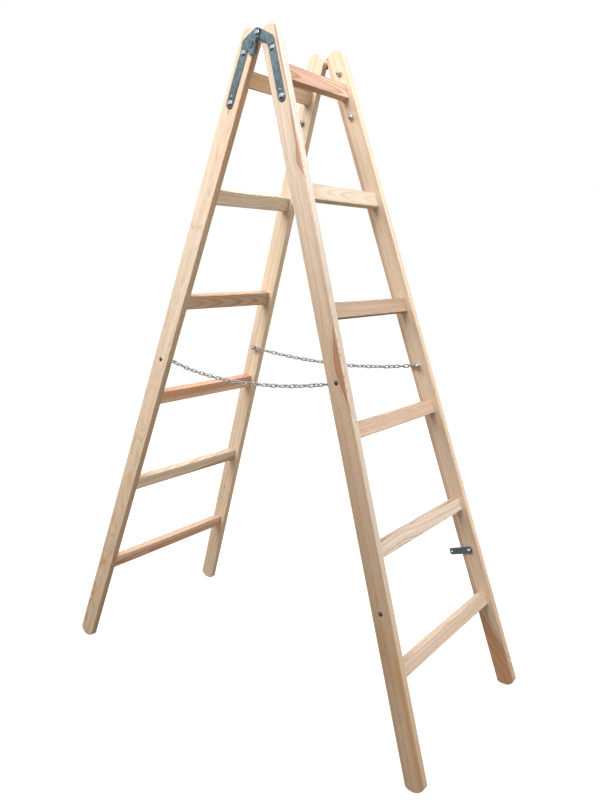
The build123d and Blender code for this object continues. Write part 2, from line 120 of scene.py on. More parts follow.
class Graph:
    """Shader graph of one finish, with short calls for the nodes that it needs."""

    def __init__(self, name: str) -> None:
        """Start a material with a principled shader.

        Args:
            name: the material's name.
        """
        self.material = bpy.data.materials.new(name)
        self.material.use_nodes = True
        self.tree = self.material.node_tree
        self.shader = self.tree.nodes["Principled BSDF"]

    def put(self, socket: bpy.types.NodeSocket, value: Input) -> None:
        """Link or set one input.

        Args:
            socket: the input.
            value: a number, a colour, a vector or the output that feeds it.
        """
        if isinstance(value, bpy.types.NodeSocket):
            self.tree.links.new(value, socket)
        elif socket.type == "RGBA":
            socket.default_value = (*value, 1.0)
        else:
            socket.default_value = value

    def shade(self, **inputs: Input) -> None:
        """Set the shader's inputs by name, with _ for a space."""
        for name, value in inputs.items():
            self.put(self.shader.inputs[name.replace("_", " ")], value)

    def math(self, how: str, a: Input, b: Input = 0.0) -> bpy.types.NodeSocket:
        """Work on two numbers.

        Args:
            how: the Math node's operation.
            a: first number.
            b: second number.

        Returns:
            The result's socket.
        """
        node = self.tree.nodes.new("ShaderNodeMath")
        node.operation = how
        self.put(node.inputs[0], a)
        self.put(node.inputs[1], b)
        return node.outputs[0]

    def vector(self, how: str, a: Input, b: Input) -> bpy.types.NodeSocket:
        """Work on two vectors.

        Args:
            how: the Vector Math node's operation.
            a: first vector.
            b: second vector.

        Returns:
            The result's socket.
        """
        node = self.tree.nodes.new("ShaderNodeVectorMath")
        node.operation = how
        self.put(node.inputs[0], a)
        self.put(node.inputs[1], b)
        return node.outputs["Vector"]

    def where(self, board: Matrix, inward: float = 1.0) -> bpy.types.NodeSocket:
        """Object coordinates turned into a board's own.

        Args:
            board: the board's place, X along its length.
            inward: direction of the board's thickness along its Z.

        Returns:
            The coordinates' socket.
        """
        place = self.tree.nodes.new("ShaderNodeTexCoord").outputs["Object"]
        node = self.tree.nodes.new("ShaderNodeMapping")
        node.vector_type = "TEXTURE"
        self.put(node.inputs["Vector"], place)
        node.inputs["Location"].default_value = board.to_translation()
        node.inputs["Rotation"].default_value = board.to_euler()
        node.inputs["Scale"].default_value = (1.0, 1.0, inward)
        return node.outputs["Vector"]

    def split(self, vector: bpy.types.NodeSocket) -> list[bpy.types.NodeSocket]:
        """Take a vector apart.

        Args:
            vector: the vector's socket.

        Returns:
            The sockets of its three parts.
        """
        node = self.tree.nodes.new("ShaderNodeSeparateXYZ")
        self.put(node.inputs[0], vector)
        return list(node.outputs)

    def noise(self, where: Input, waves: Triple, shift: float, detail: float = 2.0) -> bpy.types.NodeSocket:
        """Cloudy value from 0 to 1.

        Args:
            where: coordinates in metres.
            waves: waves a metre along each axis.
            shift: moves the pattern, so that boards differ.
            detail: finer layers.

        Returns:
            The value's socket.
        """
        scaled = self.vector("MULTIPLY", where, waves)
        moved = self.vector("ADD", scaled, tuple(shift * step for step in PATTERN_STEP))
        node = self.tree.nodes.new("ShaderNodeTexNoise")
        self.put(node.inputs["Vector"], moved)
        node.inputs["Scale"].default_value = 1.0
        node.inputs["Detail"].default_value = detail
        return node.outputs["Fac"]

    def ramp(self, share: Input, stops: Sequence[Pair]) -> bpy.types.NodeSocket:
        """Grey curve through a few stops.

        Args:
            share: value from 0 to 1.
            stops: place and brightness of each stop.

        Returns:
            The curve's socket.
        """
        node = self.tree.nodes.new("ShaderNodeValToRGB")
        node.color_ramp.interpolation = "EASE"
        set_stops(node, [(at, (level, level, level)) for at, level in stops])
        self.put(node.inputs["Fac"], share)
        return node.outputs["Color"]

    def span(self, value: Input, source: Pair, target: Pair) -> bpy.types.NodeSocket:
        """Carry a value from one range smoothly into another.

        Args:
            value: the value.
            source: its range.
            target: the range it becomes, clamped.

        Returns:
            The new value's socket.
        """
        node = self.tree.nodes.new("ShaderNodeMapRange")
        node.interpolation_type = "SMOOTHSTEP"
        for i, number in enumerate((*source, *target)):
            node.inputs[1 + i].default_value = number
        self.put(node.inputs["Value"], value)
        return node.outputs["Result"]

    def hump(self, value: bpy.types.NodeSocket, at: float, reach: float) -> bpy.types.NodeSocket:
        """Bell curve of height 1.

        Args:
            value: the coordinate that it runs along.
            at: its middle.
            reach: how far out it has sunk to about a third.

        Returns:
            The curve's socket.
        """
        off = self.math("DIVIDE", self.math("SUBTRACT", value, at), reach)
        return self.math("POWER", math.e, self.math("MULTIPLY", self.math("MULTIPLY", off, off), -1.0))

    def mix(self, share: Input, a: Input, b: Input, how: str = "MIX") -> bpy.types.NodeSocket:
        """Mix two colours.

        Args:
            share: how much of the second one.
            a: first colour.
            b: second colour.
            how: the blend type.

        Returns:
            The colour's socket.
        """
        node = self.tree.nodes.new("ShaderNodeMix")
        node.data_type = "RGBA"
        node.blend_type = how
        self.put(node.inputs["Factor"], share)
        colors = [s for s in node.inputs if s.type == "RGBA"]
        self.put(colors[0], a)
        self.put(colors[1], b)
        return next(s for s in node.outputs if s.type == "RGBA")

    def tinge(self, share: Input, color: Input, tint: Color) -> bpy.types.NodeSocket:
        """Multiply a colour by a tint where a share says so.

        Args:
            share: how much of the tint.
            color: the colour.
            tint: the tint.

        Returns:
            The colour's socket.
        """
        return self.mix(share, color, self.mix(1.0, color, tint, "MULTIPLY"))

    def bump(self, height: Input, depth: float, strength: float) -> None:
        """Raise the surface a little.

        Args:
            height: value from 0 to 1.
            depth: metres that 1 stands for.
            strength: share of the effect.
        """
        node = self.tree.nodes.new("ShaderNodeBump")
        node.inputs["Strength"].default_value = strength
        node.inputs["Distance"].default_value = depth
        self.put(node.inputs["Height"], height)
        self.put(self.shader.inputs["Normal"], node.outputs["Normal"])


@dataclass(frozen=True)
class Pine:
    """Planed pine of one board: rings round a pith outside the board, heartwood near the pith.

    Places are in the board's own coordinates. X runs down a stile from the hinge axis, or along a rung from
    its middle to the far end. Y runs outward across a stile, or down a rung. Z runs inward from a stile's
    outer face, or through a rung from its middle.

    Attributes:
        seed: number that sets this board's patterns apart.
        tint: tint of the whole board.
        foot: further tint toward the end at +X.
        fade: where along X the further tint begins and is full.
        edge: painted light, a tint that lightens the narrow face at +Y: a stile's outer edge, a rung's
            underside.
        painted_shade_rear: painted shade, a tint that darkens the narrow face at -Y: a stile's inner edge, a
            rung's top.
        corner: width of the band in which the painted light and shade of a narrow face set in, and in which
            the heartwood gives way to sap.
        ring: width of an even year.
        pith: middle of the trunk in Y and Z.
        drift: how far the pith moves in Y and Z with each metre along X.
        wave: waves a metre of the rings' wander, along and across the board.
        waviness: depth of that wander to each side.
        quick: waves a metre of the rings' quick wander along each axis.
        ripple: depth of the rings' quick wander, from one side to the other.
        uneven: waves a year of the years' unevenness, and its depth in years.
        seasons: place in the year and darkness of each stop of a ring.
        vigour: strength of the weakest and the strongest year's latewood.
        contrast: strength of the latewood.
        heart_late: how far past its border the heartwood's stronger latewood fades, and its strength.
        heart_reach: radius of the heartwood about the pith.
        heart_edge: half width of its border.
        heart_depth: how far inside its border the heartwood has paled.
        sap_edge: place along Y past which there is no heartwood.
        swells: place along X, reach and depth of each bulge of the rings.
        stains_and_painted_light: place, reach and tint of each patch: some are marks in the wood, some are
            painted light and shade on the narrow faces.
        early: colour of the earlywood.
        late: tint of the latewood.
        heart: tint of the heartwood.
        rim: tint of the heartwood's border.
        roughness: roughness of the early- and the latewood.
        specular: level of the planed surface's reflection.
        fibre: waves a metre of the fine fibres along each axis.
        streak: waves a metre of the long streaks.
        tone: waves a metre of the broad tone.
        fleck: waves a metre of the short dark flecks.
        felt: shares of the latewood and the fibres in the grain that can be felt.
        relief: depth of that grain, and its strength.
    """

    seed: float
    tint: Color = NO_TINT
    foot: Color = NO_TINT
    fade: Pair = (0.3, 1.5)
    edge: Color = NO_TINT
    painted_shade_rear: Color = NO_TINT
    corner: float = 0.003
    ring: float = 0.0036
    pith: Pair = (0.012, 0.055)
    drift: Pair = (0.004, 0.006)
    wave: Pair = (1.3, 8.0)
    waviness: float = 0.006
    quick: Triple = (7.0, 90.0, 90.0)
    ripple: float = 0.0012
    uneven: Pair = (0.45, 1.6)
    seasons: tuple[Pair, ...] = ((0.0, 0.0), (0.3, 0.08), (0.62, 0.4), (0.9, 1.0), (1.0, 0.15))
    vigour: Pair = (0.35, 1.0)
    contrast: float = 0.9
    heart_late: Pair = (0.012, 1.5)
    heart_reach: float = 0.0
    heart_edge: float = 0.0012
    heart_depth: float = 1.0
    sap_edge: float = 1.0
    swells: tuple[Swell, ...] = ()
    stains_and_painted_light: tuple[TintPatch, ...] = ()
    early: Color = (0.74, 0.57, 0.43)
    late: Color = (0.68, 0.52, 0.39)
    heart: Color = (0.77, 0.58, 0.51)
    rim: Color = (0.74, 0.58, 0.48)
    roughness: Pair = (0.56, 0.44)
    specular: float = 0.35
    fibre: Triple = (16.0, 1300.0, 1300.0)
    streak: Triple = (1.6, 120.0, 120.0)
    tone: Triple = (2.2, 26.0, 26.0)
    fleck: Triple = (45.0, 700.0, 700.0)
    felt: Pair = (0.6, 0.4)
    relief: Pair = (0.00025, 0.35)

    def material(self, name: str, board: Matrix, half: float, inward: float = 1.0) -> bpy.types.Material:
        """Make the board's material.

        Args:
            name: the board's name.
            board: the board's place, X along the grain.
            half: half of its width along Y.
            inward: direction of the board's thickness along its Z.

        Returns:
            The material.
        """
        g = Graph(f"pine_{name}")
        where = g.where(board, inward)
        radius = self.pith_distance(g, where)
        past_heart = g.math("SUBTRACT", radius, self.heart_reach)
        red, rim = self.heartwood(g, where, past_heart)
        dark = self.latewood(g, radius, past_heart)
        fleck = g.span(g.noise(where, self.fleck, self.seed + 6, 1.0), (0.58, 0.72), (0.0, 0.45))
        fibre = g.noise(where, self.fibre, self.seed + 2, 3.0)
        streak = g.noise(where, self.streak, self.seed + 4, 2.0)
        tone = g.noise(where, self.tone, self.seed + 3)
        color = self.ground(g, where, half)
        for share, shade in ((red, self.heart), (rim, self.rim), (dark, self.late), (fleck, self.late)):
            color = g.tinge(share, color, shade)
        for value, stops in (
            (fibre, [(0.25, 0.90), (0.75, 1.0)]),
            (streak, [(0.3, 0.90), (0.7, 1.0)]),
            (tone, [(0.3, 0.92), (0.7, 1.0)]),
        ):
            color = g.mix(1.0, color, g.ramp(value, stops), "MULTIPLY")
        roughness = g.span(dark, (0.0, 1.0), self.roughness)
        g.shade(Base_Color=color, Roughness=roughness, Specular_IOR_Level=self.specular)
        felt = [g.math("MULTIPLY", value, share) for value, share in zip((dark, fibre), self.felt)]
        g.bump(g.math("ADD", *felt), *self.relief)
        return g.material

    def ground(self, g: Graph, where: bpy.types.NodeSocket, half: float) -> bpy.types.NodeSocket:
        """Colour of the earlywood, with the tints of the whole board, the painted light and shade on its
        narrow faces, and its marks and patches of painted light and shade.

        Args:
            g: the graph.
            where: the board's own coordinates.
            half: half of its width along Y.

        Returns:
            The colour's socket.
        """
        x, y, _ = g.split(where)
        start = tuple(c * t for c, t in zip(self.early, self.tint))
        end = tuple(c * t for c, t in zip(start, self.foot))
        color = g.mix(g.span(x, self.fade, (0.0, 1.0)), start, end)
        # Painted light on the narrow face at +Y, painted shade on the one at -Y.
        for sign, shade in ((1.0, self.edge), (-1.0, self.painted_shade_rear)):
            share = g.span(g.math("MULTIPLY", y, sign), (half - self.corner, half), (0.0, 1.0))
            color = g.tinge(share, color, shade)
        # Marks in the wood, and patches of painted light and shade on the narrow faces.
        for (at_x, at_y), (reach_x, reach_y), patch_tint in self.stains_and_painted_light:
            share = g.math("MULTIPLY", g.hump(x, at_x, reach_x), g.hump(y, at_y, reach_y))
            color = g.tinge(share, color, patch_tint)
        return color

    def pith_distance(self, g: Graph, where: bpy.types.NodeSocket) -> bpy.types.NodeSocket:
        """Distance from the pith, with the wander of a real trunk.

        Args:
            g: the graph.
            where: the board's own coordinates.

        Returns:
            The distance's socket.
        """
        x, y, z = g.split(where)
        along, aside = self.wave
        slow = g.math("SUBTRACT", g.noise(where, (along, aside, aside), self.seed), 0.5)
        quick = g.math("SUBTRACT", g.noise(where, self.quick, self.seed + 1), 0.5)
        squares = []
        for part, pith, drift in zip((y, z), self.pith, self.drift):
            off = g.math("SUBTRACT", g.math("SUBTRACT", part, g.math("MULTIPLY", x, drift)), pith)
            squares.append(g.math("MULTIPLY", off, off))
        radius = g.math("SQRT", g.math("ADD", *squares))
        radius = g.math("ADD", radius, g.math("MULTIPLY", slow, 2 * self.waviness))
        radius = g.math("ADD", radius, g.math("MULTIPLY", quick, self.ripple))
        for at, reach, depth in self.swells:
            radius = g.math("SUBTRACT", radius, g.math("MULTIPLY", g.hump(x, at, reach), depth))
        return radius

    def heartwood(
        self, g: Graph, where: bpy.types.NodeSocket, past: bpy.types.NodeSocket
    ) -> tuple[bpy.types.NodeSocket, bpy.types.NodeSocket]:
        """Shares of the heartwood and of its border.

        Args:
            g: the graph.
            where: the board's own coordinates.
            past: distance past the heartwood's border.

        Returns:
            The two shares' sockets.
        """
        _, y, _ = g.split(where)
        red = g.span(past, (-self.heart_edge, self.heart_edge), (1.0, 0.0))
        pale = g.span(past, (-self.heart_depth, -self.heart_depth / 3), (0.3, 1.0))
        rim = g.span(g.math("ABSOLUTE", past), (0.0, self.heart_edge), (0.7, 0.0))
        sap = g.span(y, (self.sap_edge - self.corner, self.sap_edge), (1.0, 0.0))
        red = g.math("MULTIPLY", red, pale)
        return g.math("MULTIPLY", red, sap), g.math("MULTIPLY", rim, sap)

    def latewood(
        self, g: Graph, radius: bpy.types.NodeSocket, past: bpy.types.NodeSocket
    ) -> bpy.types.NodeSocket:
        """Share of the dark latewood, stronger in some years and in the heartwood.

        Args:
            g: the graph.
            radius: distance from the pith.
            past: distance past the heartwood's border.

        Returns:
            The share's socket.
        """
        years = self.years(g, g.math("DIVIDE", radius, self.ring))
        chance = g.tree.nodes.new("ShaderNodeTexWhiteNoise")
        chance.noise_dimensions = "1D"
        g.put(chance.inputs["W"], g.math("ADD", g.math("FLOOR", years), self.seed * 13.0))
        vigour = g.span(chance.outputs["Value"], (0.0, 1.0), self.vigour)
        dark = g.ramp(g.math("FRACT", years), self.seasons)
        dark = g.math("MULTIPLY", g.math("MULTIPLY", dark, vigour), self.contrast)
        reach, stronger = self.heart_late
        dark = g.math("MULTIPLY", dark, g.span(past, (0.0, reach), (stronger, 1.0)))
        return g.math("MINIMUM", dark, 1.0)

    def years(self, g: Graph, age: bpy.types.NodeSocket) -> bpy.types.NodeSocket:
        """Make some years wider than others.

        Args:
            g: the graph.
            age: even years from the pith.

        Returns:
            The uneven years' socket.
        """
        waves, depth = self.uneven
        node = g.tree.nodes.new("ShaderNodeTexNoise")
        node.noise_dimensions = "1D"
        node.inputs["Scale"].default_value = waves
        node.inputs["Detail"].default_value = 1.0
        g.put(node.inputs["W"], g.math("ADD", age, self.seed * 5.0))
        return g.math("ADD", age, g.math("MULTIPLY", node.outputs["Fac"], depth))


@dataclass(frozen=True)
class Steel:
    """Plated or dark steel with cloudy tone and fine scratches, and painted shade toward its lower end.

    Attributes:
        color: the light spangles' colour.
        shadow: the dark spangles' colour.
        metallic: how metallic it is.
        roughness: roughness of its smoothest and its roughest clouds.
        patch: spangles a metre.
        spangle: share of the spangles in the tone, the rest being clouds.
        cloud: clouds a metre.
        rub: scratches a metre along each axis.
        scratch: depth of the scratches, and their strength.
        painted_shade_low: painted shade, a tint that darkens the lower end.
        shade_heights: below the first it has all the painted shade, and above the second none.
    """

    color: Color
    shadow: Color
    metallic: float
    roughness: Pair
    patch: float = 160.0
    spangle: float = 0.55
    cloud: float = 70.0
    rub: Triple = (900.0, 900.0, 160.0)
    scratch: Pair = (0.00004, 0.25)
    painted_shade_low: Color = NO_TINT
    shade_heights: Pair = (0.0, 1.0)

    def material(self, name: str) -> bpy.types.Material:
        """Make the material.

        Args:
            name: the finish's name.

        Returns:
            The material.
        """
        g = Graph(name)
        where = g.where(Matrix.Identity(4))
        cells = g.tree.nodes.new("ShaderNodeTexVoronoi")
        cells.inputs["Scale"].default_value = self.patch
        g.put(cells.inputs["Vector"], where)
        spangle = g.split(cells.outputs["Color"])[0]
        cloud = g.noise(where, (self.cloud, self.cloud, self.cloud), 2.0, 4.0)
        share = g.math("MULTIPLY", spangle, self.spangle)
        share = g.math("ADD", share, g.math("MULTIPLY", cloud, 1.0 - self.spangle))
        color = g.mix(share, self.shadow, self.color)
        # Painted shade: the lower end is darker.
        low = g.span(g.split(where)[2], self.shade_heights, (1.0, 0.0))
        g.shade(
            Base_Color=g.tinge(low, color, self.painted_shade_low),
            Metallic=self.metallic,
            Roughness=g.span(cloud, (0.3, 0.7), self.roughness),
        )
        g.bump(g.noise(where, self.rub, 5.0, 2.0), *self.scratch)
        return g.material


@dataclass
class Frames:
    """Directions and places that the boards of both frames share.

    Attributes:
        lean: angle of a frame from upright.
        splay: angle at which a frame's stiles spread toward the floor.
        half_width: from the middle to the stiles' outer faces, level with the hinge axis.
        stile_thick: thickness of a stile.
        stile_middle: from the hinge axis outward to a stile's middle.
        rungs: rungs of one frame.
        pivot: middle of the hinge axis.
    """

    lean: float = math.radians(18.5)
    splay: float = math.radians(4.7)
    half_width: float = 0.14375
    stile_thick: float = 0.020
    stile_middle: float = 0.0266
    rungs: int = 6
    pivot: Vector = field(default_factory=lambda: joint_place("fold"))

    def down(self, side: Side) -> Vector:
        """Direction down a frame."""
        return Vector((side.sign * math.sin(self.lean), 0.0, -math.cos(self.lean)))

    def out(self, side: Side) -> Vector:
        """Direction across a frame's stiles, away from the other frame."""
        return Vector((side.sign * math.cos(self.lean), 0.0, math.sin(self.lean)))

    def stile_place(self, side: Side, row: Row) -> Matrix:
        """Place of a stile.

        Args:
            side: the frame.
            row: the end of the rungs.

        Returns:
            Matrix with X down the stile from the hinge axis, Y outward from its middle and Z square to its
            outer face.
        """
        along = self.down(side) * math.cos(self.splay) + Vector((0.0, row.sign * math.sin(self.splay), 0.0))
        aside = Vector((0.0, row.sign * self.half_width, 0.0))
        origin = self.pivot + self.out(side) * self.stile_middle + aside
        return axes_at(origin, along, self.out(side))

    def outward(self, side: Side, row: Row) -> float:
        """Direction in which a stile's outer face looks along its own Z."""
        return row.sign * math.copysign(1.0, self.stile_place(side, row).col[2].y)

    def rung_place(self, side: Side, down: float) -> Matrix:
        """Place of a rung.

        Args:
            side: the frame.
            down: its middle below the hinge axis.

        Returns:
            Matrix with X along the rung and Y down the frame.
        """
        origin = self.pivot + self.out(side) * self.stile_middle + self.down(side) * down
        return axes_at(origin, Vector((0.0, 1.0, 0.0)), self.down(side))

    def half_length(self, down: float) -> float:
        """Half of the way between the stiles' inner faces."""
        return self.half_width + down * math.tan(self.splay) - self.stile_thick / math.cos(self.splay)


@dataclass
class Stile:
    """One stile: round top, shallow round foot, eased edges, planed level at the floor.

    Attributes:
        side: the frame.
        row: the end of the rungs.
        pine: its finish.
        frames: what both frames share.
        width: width of the board.
        top: where it begins, along the stile from the hinge axis.
        foot: where it ends.
        foot_radius: radius of its round foot.
        end_steps: straight stretches that stand for a round end.
        ease: how far its edges are eased.
        ease_steps: faces across an eased edge.
        floor_gap: distance that counts as on the floor when the foot is planed.
    """

    side: Side
    row: Row
    pine: Pine
    frames: Frames
    width: float = 0.050
    top: float = -0.009
    foot: float = 1.771
    foot_radius: float = 0.030
    end_steps: int = 14
    ease: float = 0.002
    ease_steps: int = 3
    floor_gap: float = 1e-7

    @property
    def node(self) -> str:
        """CAD node that it stands for."""
        return f"stile_{self.row.value}_{self.side.value}"

    @property
    def ankle(self) -> float:
        """Where along the stile the foot's round begins."""
        return self.foot - self.foot_radius + math.sqrt(self.foot_radius**2 - (self.width / 2) ** 2)

    def outline(self) -> bpy.types.Object:
        """Draw the board's outer face, two long edges with spun ends.

        Returns:
            The face, selected in edit mode.
        """
        half = self.width / 2
        shoulder = self.top + half
        sweep = 2 * math.asin(half / self.foot_radius)
        pick_none()
        bpy.ops.mesh.primitive_plane_add(size=1.0)
        board = bpy.context.object
        bpy.ops.object.mode_set(mode="EDIT")
        bpy.ops.transform.resize(value=(self.ankle - shoulder, self.width, 1.0))
        bpy.ops.transform.translate(value=((self.ankle + shoulder) / 2, 0.0, 0.0))
        bpy.ops.mesh.delete(type="ONLY_FACE")
        pick_edges(board, lambda a, b: abs(a.x - b.x) < EPS)
        bpy.ops.mesh.delete(type="EDGE")
        ends = ((shoulder, shoulder, math.pi), (self.ankle, self.foot - self.foot_radius, -sweep))
        for corner, center, turn in ends:
            pick_verts(board, lambda co, at=corner: abs(co.x - at) < EPS and co.y < 0)
            bpy.ops.mesh.spin(
                steps=self.end_steps, angle=turn, center=(center, 0.0, 0.0), axis=(0.0, 0.0, 1.0)
            )
        pick_verts(board, lambda co: True)
        bpy.ops.mesh.remove_doubles(threshold=EPS)
        bpy.ops.mesh.select_all(action="SELECT")
        bpy.ops.mesh.edge_face_add()
        return board

    def build(self) -> bpy.types.Object:
        """Thicken the outline, ease its edges, set it in place and plane its foot.

        Returns:
            The board.
        """
        place = self.frames.stile_place(self.side, self.row)
        inward = -self.frames.outward(self.side, self.row)
        thick = inward * self.frames.stile_thick
        board = self.outline()
        bpy.ops.mesh.extrude_region_move(TRANSFORM_OT_translate={"value": (0.0, 0.0, thick)})
        bpy.ops.mesh.select_all(action="SELECT")
        bpy.ops.mesh.normals_make_consistent(inside=False)
        pick_edges(board, lambda a, b: abs(a.z - b.z) < EPS or abs(a.x - self.ankle) < EPS)
        bpy.ops.mesh.bevel(offset=self.ease, segments=self.ease_steps, affect="EDGES")
        settle(board, place)
        pick_verts(board, lambda co: True)
        bpy.ops.mesh.bisect(
            plane_co=(0, 0, 0), plane_no=(0, 0, 1), use_fill=True, clear_inner=True, threshold=self.floor_gap
        )
        return finish_board(board, self.node, self.pine.material(self.node, place, self.width / 2, inward))


@dataclass
class Rung:
    """One rung between the splayed stiles, with eased edges.

    Attributes:
        side: the frame.
        number: its number from the top.
        pine: its finish.
        frames: what both frames share.
        first: from the hinge axis down the frame to the top rung's middle.
        pitch: from one rung to the next.
        height: its size down the frame.
        depth: its size square to the frame.
        ease: how far its long edges are eased.
        ease_steps: faces across an eased edge.
        seat: how far each end reaches into its stile.
    """

    side: Side
    number: int
    pine: Pine
    frames: Frames
    first: float = 0.098
    pitch: float = 0.280
    height: float = 0.038
    depth: float = 0.021
    ease: float = 0.0025
    ease_steps: int = 4
    seat: float = 0.0004

    @property
    def node(self) -> str:
        """CAD node that it stands for."""
        return f"rung_{self.side.value}_{self.number}"

    def build(self) -> bpy.types.Object:
        """Size a block, slant its ends to the stiles, ease its long edges and set it in place.

        Returns:
            The board.
        """
        down = self.first + (self.number - 1) * self.pitch
        place = self.frames.rung_place(self.side, down)
        pick_none()
        bpy.ops.mesh.primitive_cube_add(size=1.0)
        board = bpy.context.object
        bpy.ops.object.mode_set(mode="EDIT")
        bpy.ops.transform.resize(value=(1.0, self.height, self.depth))
        for edge in (-self.height / 2, self.height / 2):
            pick_verts(board, lambda co, e=edge: co.y * e > 0)
            length = 2 * (self.frames.half_length(down + edge) + self.seat)
            bpy.ops.transform.resize(value=(length, 1.0, 1.0), center_override=(0.0, edge, 0.0))
        pick_edges(board, lambda a, b: abs(a.y - b.y) < EPS and abs(a.z - b.z) < EPS)
        bpy.ops.mesh.bevel(offset=self.ease, segments=self.ease_steps, affect="EDGES")
        settle(board, place)
        return finish_board(board, self.node, self.pine.material(self.node, place, self.height / 2))


STILE_PINE: dict[tuple[Side, Row], Pine] = {
    (Side.LEFT, Row.NEAR): Pine(
        # Painted shade darkens the inner narrow face.
        1.0, tint=(0.95, 0.965, 1.0), foot=(1.05, 1.0, 0.93), painted_shade_rear=(0.80, 0.75, 0.68),
        ring=0.0025, pith=(0.004, 0.075), drift=(0.0, 0.01), wave=(4.6, 21.0), waviness=0.012, contrast=0.8,
        stains_and_painted_light=(
            ((0.12, 0.0), (0.20, 0.05), (0.95, 0.87, 0.85)),
            # Painted light on the upper part of the inner narrow face.
            ((0.22, -0.0255), (0.24, 0.0025), (1.24, 1.16, 1.05)),
            ((1.20, -0.008), (0.03, 0.010), (1.0, 0.88, 0.72)),
            ((1.50, 0.0), (0.02, 0.008), (1.0, 0.85, 0.62)),
        ),
    ),
    (Side.RIGHT, Row.NEAR): Pine(
        # Painted light brightens the outer narrow face.
        2.0, tint=(0.86, 0.88, 0.95), foot=(0.85, 0.77, 0.67), fade=(0.2, 0.9), edge=(1.16, 1.28, 1.42),
        ring=0.0034, pith=(0.050, -0.016), drift=(0.0, 0.0), waviness=0.0016, contrast=1.1,
        heart_reach=0.029, heart_edge=0.0014, heart_depth=0.024, sap_edge=0.0225, heart=(0.74, 0.55, 0.49),
        swells=((0.06, 0.13, 0.007), (0.25, 0.06, 0.008), (0.315, 0.030, 0.012), (0.79, 0.075, 0.019)),
        stains_and_painted_light=(
            # Painted light on the outer narrow face.
            ((1.0, 0.0255), (0.28, 0.0025), (1.10, 1.20, 1.34)),
            # Painted shade on the outer narrow face near the foot.
            ((1.75, 0.0255), (0.20, 0.0025), (0.90, 0.80, 0.72)),
            ((1.44, -0.010), (0.07, 0.016), (0.93, 0.82, 0.72)),
            ((1.50, 0.012), (0.05, 0.012), (0.98, 0.90, 0.74)),
            ((1.62, 0.016), (0.16, 0.007), (1.02, 0.90, 0.72)),
            ((1.64, 0.0), (0.26, 0.06), (1.07, 1.07, 1.05)),
        ),
    ),
    (Side.LEFT, Row.FAR): Pine(
        # Painted shade darkens the inner narrow face.
        3.0, tint=(1.08, 1.11, 1.13), foot=(1.24, 1.21, 1.18), fade=(0.15, 0.9), painted_shade_rear=(0.82, 0.78, 0.74),
        ring=0.0034, pith=(-0.05, 0.03), waviness=0.010,
    ),
    (Side.RIGHT, Row.FAR): Pine(
        4.0, tint=(1.13, 1.14, 1.17),
        ring=0.0032, pith=(-0.05, 0.03), waviness=0.004, contrast=1.5,
        heart_reach=0.020, heart_edge=0.020, sap_edge=0.0225, heart=(0.80, 0.60, 0.48),
        swells=((1.82, 0.20, 0.090),),
        # Painted shade on the outer narrow face near the foot.
        stains_and_painted_light=(((1.68, 0.0255), (0.28, 0.0025), (0.78, 0.73, 0.68)),),
    ),
}
